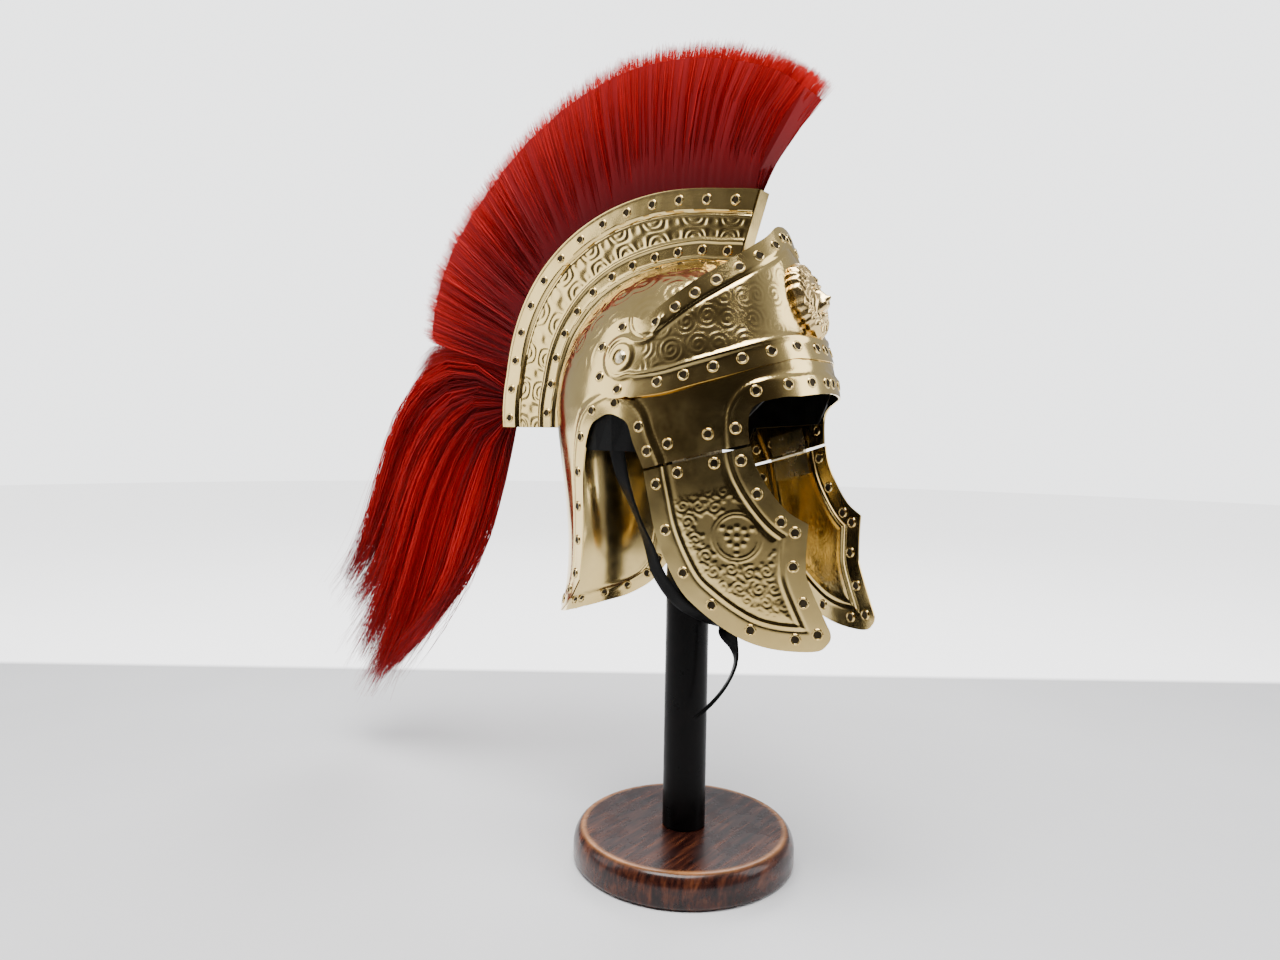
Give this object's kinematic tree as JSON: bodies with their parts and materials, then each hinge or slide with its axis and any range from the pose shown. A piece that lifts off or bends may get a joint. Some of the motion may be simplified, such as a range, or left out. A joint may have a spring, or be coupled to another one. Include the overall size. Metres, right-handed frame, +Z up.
{
  "type": "roman centurion helmet on a stand",
  "caption": "Brass Roman officer's helmet with an upright red hair crest, long tail, brow plate, hinged cheek plates and chin strap, held on a turned wooden stand.",
  "frame": {"origin": "centre of the stand base's underside, on the surface that it stands on", "axes": "+Z up, -Y is the way the helmet faces, +X is the wearer's left"},
  "size_m": [0.1966, 0.6571, 0.7119],
  "materials": {
    "walnut": "dark stained wood, satin lacquer, edge worn lighter",
    "black_paint": "satin black paint on turned wood",
    "brass_sheet": "polished pale brass sheet with pressed and engraved ornament",
    "gilt_cast": "bright gilt casting",
    "steel_fitting": "plain plated fitting",
    "black_leather": "black leather",
    "black_metal": "black painted metal",
    "red_hair": "dyed horsehair in upright and loose locks"
  },
  "bodies": {
    "helmet": {"stand_base": "walnut", "stand_post": "black_paint", "stand_head": "black_paint", "skull": "brass_sheet", "liner": "black_leather", "brow_plate": "brass_sheet", "brow_screw_right": "steel_fitting", "brow_screw_left": "steel_fitting", "brow_medallion": "gilt_cast", "crest_plate_right": "brass_sheet", "crest_plate_left": "brass_sheet", "crest_front_cap": "brass_sheet", "crest_hair": "red_hair", "crest_tail": "red_hair", "hinge_leaf_upper_right": "steel_fitting", "hinge_leaf_upper_left": "steel_fitting", "chin_strap": "black_leather", "strap_end": "black_leather", "strap_slide": "black_metal"},
    "cheek_right": {"cheek_plate_right": "brass_sheet", "hinge_leaf_lower_right": "steel_fitting"},
    "cheek_left": {"cheek_plate_left": "brass_sheet", "hinge_leaf_lower_left": "steel_fitting"}
  },
  "joints": [
    {"name": "cheek_right_swing", "type": "hinge", "parent": "helmet", "child": "cheek_right", "pos_m": [-0.07746, -0.05612, 0.35987], "axis": [-0.2512, 0.937, -0.2427], "range_deg": [-5, 20]},
    {"name": "cheek_left_swing", "type": "hinge", "parent": "helmet", "child": "cheek_left", "pos_m": [0.07746, -0.05612, 0.35987], "axis": [-0.2512, -0.937, 0.2427], "range_deg": [-5, 20]}
  ]
}
